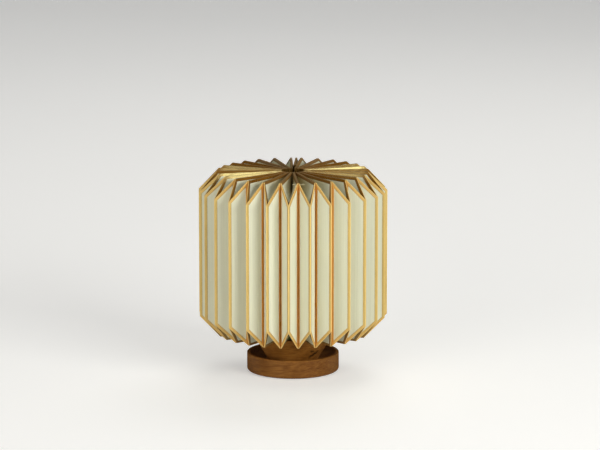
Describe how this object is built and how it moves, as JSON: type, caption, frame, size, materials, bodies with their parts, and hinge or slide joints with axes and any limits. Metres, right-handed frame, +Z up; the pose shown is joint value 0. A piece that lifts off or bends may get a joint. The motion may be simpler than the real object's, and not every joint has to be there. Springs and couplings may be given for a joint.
{
  "type": "table lamp",
  "caption": "Table lamp with a pleated paper and veneer shade that folds like a book, on a turned wooden bowl and dished base.",
  "frame": {"origin": "on the lamp's axis, in the plane of the felt pad's underside, which stands on the table", "axes": "+Z up along the axis; the front, beside the shade's seam, faces -Y; the switch and the charging socket face +Y"},
  "size_m": [0.1918, 0.1919, 0.2074],
  "materials": {
    "pages": "satin paper with a thin veneer frame",
    "walnut": "oiled, turned",
    "thread": "twisted cotton",
    "felt": "felt",
    "cover_metal": "satin",
    "screw_steel": "zinc plated",
    "circuit_board": "solder mask",
    "board_parts": "moulded",
    "nylon": "natural",
    "panel_plastic": "fine matt",
    "button_plastic": "satin",
    "switch_plastic": "moulded",
    "light_lens": "clear",
    "battery_wrap": "foil pouch",
    "foam": "closed-cell foam",
    "battery_wire": "insulated",
    "led_wire": "insulated",
    "led_plate_metal": "turned",
    "led_board_mask": "white solder mask",
    "led_phosphor": "phosphor",
    "opal": "opal"
  },
  "bodies": {
    "base": {"base_dish": "walnut", "base_cover": "cover_metal", "base_pad": "felt", "cover_screws": "screw_steel", "main_board": "circuit_board", "board_parts": "board_parts", "board_spacers": "nylon", "board_screws": "screw_steel", "usb_socket": "screw_steel", "switch_body": "switch_plastic", "rear_panel": "panel_plastic", "charge_light": "light_lens", "bowl": "walnut", "bowl_screws": "screw_steel", "battery": "battery_wrap", "battery_pad": "foam", "battery_leads": "battery_wire", "led_leads": "led_wire", "led_plate": "led_plate_metal", "plate_screws": "screw_steel", "led_board": "led_board_mask", "leds": "led_phosphor", "diffuser": "opal"},
    "shade": {"page_01": "pages", "top_thread": "thread", "bottom_thread": "thread", "seam_tie": "thread"},
    "page_02": {"page_02": "pages"},
    "page_03": {"page_03": "pages"},
    "page_04": {"page_04": "pages"},
    "page_05": {"page_05": "pages"},
    "page_06": {"page_06": "pages"},
    "page_07": {"page_07": "pages"},
    "page_08": {"page_08": "pages"},
    "page_09": {"page_09": "pages"},
    "page_10": {"page_10": "pages"},
    "page_11": {"page_11": "pages"},
    "page_12": {"page_12": "pages"},
    "page_13": {"page_13": "pages"},
    "page_14": {"page_14": "pages"},
    "page_15": {"page_15": "pages"},
    "page_16": {"page_16": "pages"},
    "page_17": {"page_17": "pages"},
    "page_18": {"page_18": "pages"},
    "page_19": {"page_19": "pages"},
    "page_20": {"page_20": "pages"},
    "page_21": {"page_21": "pages"},
    "page_22": {"page_22": "pages"},
    "page_23": {"page_23": "pages"},
    "page_24": {"page_24": "pages"},
    "page_25": {"page_25": "pages"},
    "page_26": {"page_26": "pages"},
    "page_27": {"page_27": "pages"},
    "page_28": {"page_28": "pages"},
    "page_29": {"page_29": "pages"},
    "button": {"power_button": "button_plastic"}
  },
  "joints": [
    {"name": "shade_lift", "type": "slide", "parent": "base", "child": "shade", "axis": [0, 0, 1], "range_m": [0, 0.04]},
    {"name": "fan", "type": "hinge", "parent": "shade", "child": "page_29", "pos_m": [0, 0, 0.1234], "axis": [0, 0, -1], "range_deg": [0, 255.96], "deforming": ["page_29", "page_01"]},
    {"name": "turn_02", "type": "hinge", "parent": "shade", "child": "page_02", "pos_m": [0, 0, 0.1234], "axis": [0, 0, -1], "range_deg": [0, 9.85], "deforming": ["page_02"]},
    {"name": "turn_03", "type": "hinge", "parent": "shade", "child": "page_03", "pos_m": [0, 0, 0.1234], "axis": [0, 0, -1], "range_deg": [0, 19.7], "deforming": ["page_03"]},
    {"name": "turn_04", "type": "hinge", "parent": "shade", "child": "page_04", "pos_m": [0, 0, 0.1234], "axis": [0, 0, -1], "range_deg": [0, 29.54], "deforming": ["page_04"]},
    {"name": "turn_05", "type": "hinge", "parent": "shade", "child": "page_05", "pos_m": [0, 0, 0.1234], "axis": [0, 0, -1], "range_deg": [0, 39.39], "deforming": ["page_05"]},
    {"name": "turn_06", "type": "hinge", "parent": "shade", "child": "page_06", "pos_m": [0, 0, 0.1234], "axis": [0, 0, -1], "range_deg": [0, 49.23], "deforming": ["page_06"]},
    {"name": "turn_07", "type": "hinge", "parent": "shade", "child": "page_07", "pos_m": [0, 0, 0.1234], "axis": [0, 0, -1], "range_deg": [0, 59.08], "deforming": ["page_07"]},
    {"name": "turn_08", "type": "hinge", "parent": "shade", "child": "page_08", "pos_m": [0, 0, 0.1234], "axis": [0, 0, -1], "range_deg": [0, 68.92], "deforming": ["page_08"]},
    {"name": "turn_09", "type": "hinge", "parent": "shade", "child": "page_09", "pos_m": [0, 0, 0.1234], "axis": [0, 0, -1], "range_deg": [0, 78.77], "deforming": ["page_09"]},
    {"name": "turn_10", "type": "hinge", "parent": "shade", "child": "page_10", "pos_m": [0, 0, 0.1234], "axis": [0, 0, -1], "range_deg": [0, 88.61], "deforming": ["page_10"]},
    {"name": "turn_11", "type": "hinge", "parent": "shade", "child": "page_11", "pos_m": [0, 0, 0.1234], "axis": [0, 0, -1], "range_deg": [0, 98.45], "deforming": ["page_11"]},
    {"name": "turn_12", "type": "hinge", "parent": "shade", "child": "page_12", "pos_m": [0, 0, 0.1234], "axis": [0, 0, -1], "range_deg": [0, 108.3], "deforming": ["page_12"]},
    {"name": "turn_13", "type": "hinge", "parent": "shade", "child": "page_13", "pos_m": [0, 0, 0.1234], "axis": [0, 0, -1], "range_deg": [0, 118.14], "deforming": ["page_13"]},
    {"name": "turn_14", "type": "hinge", "parent": "shade", "child": "page_14", "pos_m": [0, 0, 0.1234], "axis": [0, 0, -1], "range_deg": [0, 123.07]},
    {"name": "turn_15", "type": "hinge", "parent": "shade", "child": "page_15", "pos_m": [0, 0, 0.1234], "axis": [0, 0, -1], "range_deg": [0, 123.07]},
    {"name": "turn_16", "type": "hinge", "parent": "shade", "child": "page_16", "pos_m": [0, 0, 0.1234], "axis": [0, 0, -1], "range_deg": [0, 127.99], "deforming": ["page_16"]},
    {"name": "turn_17", "type": "hinge", "parent": "shade", "child": "page_17", "pos_m": [0, 0, 0.1234], "axis": [0, 0, -1], "range_deg": [0, 137.83], "deforming": ["page_17"]},
    {"name": "turn_18", "type": "hinge", "parent": "shade", "child": "page_18", "pos_m": [0, 0, 0.1234], "axis": [0, 0, -1], "range_deg": [0, 147.68], "deforming": ["page_18"]},
    {"name": "turn_19", "type": "hinge", "parent": "shade", "child": "page_19", "pos_m": [0, 0, 0.1234], "axis": [0, 0, -1], "range_deg": [0, 157.52], "deforming": ["page_19"]},
    {"name": "turn_20", "type": "hinge", "parent": "shade", "child": "page_20", "pos_m": [0, 0, 0.1234], "axis": [0, 0, -1], "range_deg": [0, 167.37], "deforming": ["page_20"]},
    {"name": "turn_21", "type": "hinge", "parent": "shade", "child": "page_21", "pos_m": [0, 0, 0.1234], "axis": [0, 0, -1], "range_deg": [0, 177.21], "deforming": ["page_21"]},
    {"name": "turn_22", "type": "hinge", "parent": "shade", "child": "page_22", "pos_m": [0, 0, 0.1234], "axis": [0, 0, -1], "range_deg": [0, 187.05], "deforming": ["page_22"]},
    {"name": "turn_23", "type": "hinge", "parent": "shade", "child": "page_23", "pos_m": [0, 0, 0.1234], "axis": [0, 0, -1], "range_deg": [0, 196.9], "deforming": ["page_23"]},
    {"name": "turn_24", "type": "hinge", "parent": "shade", "child": "page_24", "pos_m": [0, 0, 0.1234], "axis": [0, 0, -1], "range_deg": [0, 206.74], "deforming": ["page_24"]},
    {"name": "turn_25", "type": "hinge", "parent": "shade", "child": "page_25", "pos_m": [0, 0, 0.1234], "axis": [0, 0, -1], "range_deg": [0, 216.59], "deforming": ["page_25"]},
    {"name": "turn_26", "type": "hinge", "parent": "shade", "child": "page_26", "pos_m": [0, 0, 0.1234], "axis": [0, 0, -1], "range_deg": [0, 226.43], "deforming": ["page_26"]},
    {"name": "turn_27", "type": "hinge", "parent": "shade", "child": "page_27", "pos_m": [0, 0, 0.1234], "axis": [0, 0, -1], "range_deg": [0, 236.28], "deforming": ["page_27"]},
    {"name": "turn_28", "type": "hinge", "parent": "shade", "child": "page_28", "pos_m": [0, 0, 0.1234], "axis": [0, 0, -1], "range_deg": [0, 246.12], "deforming": ["page_28"]},
    {"name": "button_press", "type": "slide", "parent": "base", "child": "button", "axis": [0, -1, 0], "range_m": [0, 0.0008], "stiffness_N_per_m": 1200, "springref_m": -0.001}
  ],
  "couplings": [
    {"joint": "turn_02", "follows": "fan", "ratio": 0.038462},
    {"joint": "turn_03", "follows": "fan", "ratio": 0.076923},
    {"joint": "turn_04", "follows": "fan", "ratio": 0.11539},
    {"joint": "turn_05", "follows": "fan", "ratio": 0.15385},
    {"joint": "turn_06", "follows": "fan", "ratio": 0.19231},
    {"joint": "turn_07", "follows": "fan", "ratio": 0.23077},
    {"joint": "turn_08", "follows": "fan", "ratio": 0.26923},
    {"joint": "turn_09", "follows": "fan", "ratio": 0.30769},
    {"joint": "turn_10", "follows": "fan", "ratio": 0.34615},
    {"joint": "turn_11", "follows": "fan", "ratio": 0.38461},
    {"joint": "turn_12", "follows": "fan", "ratio": 0.42308},
    {"joint": "turn_13", "follows": "fan", "ratio": 0.46154},
    {"joint": "turn_14", "follows": "fan", "ratio": 0.48077},
    {"joint": "turn_15", "follows": "fan", "ratio": 0.48077},
    {"joint": "turn_16", "follows": "fan", "ratio": 0.5},
    {"joint": "turn_17", "follows": "fan", "ratio": 0.53846},
    {"joint": "turn_18", "follows": "fan", "ratio": 0.57692},
    {"joint": "turn_19", "follows": "fan", "ratio": 0.61538},
    {"joint": "turn_20", "follows": "fan", "ratio": 0.65385},
    {"joint": "turn_21", "follows": "fan", "ratio": 0.69231},
    {"joint": "turn_22", "follows": "fan", "ratio": 0.73077},
    {"joint": "turn_23", "follows": "fan", "ratio": 0.76923},
    {"joint": "turn_24", "follows": "fan", "ratio": 0.80769},
    {"joint": "turn_25", "follows": "fan", "ratio": 0.84615},
    {"joint": "turn_26", "follows": "fan", "ratio": 0.88462},
    {"joint": "turn_27", "follows": "fan", "ratio": 0.92308},
    {"joint": "turn_28", "follows": "fan", "ratio": 0.96154}
  ]
}
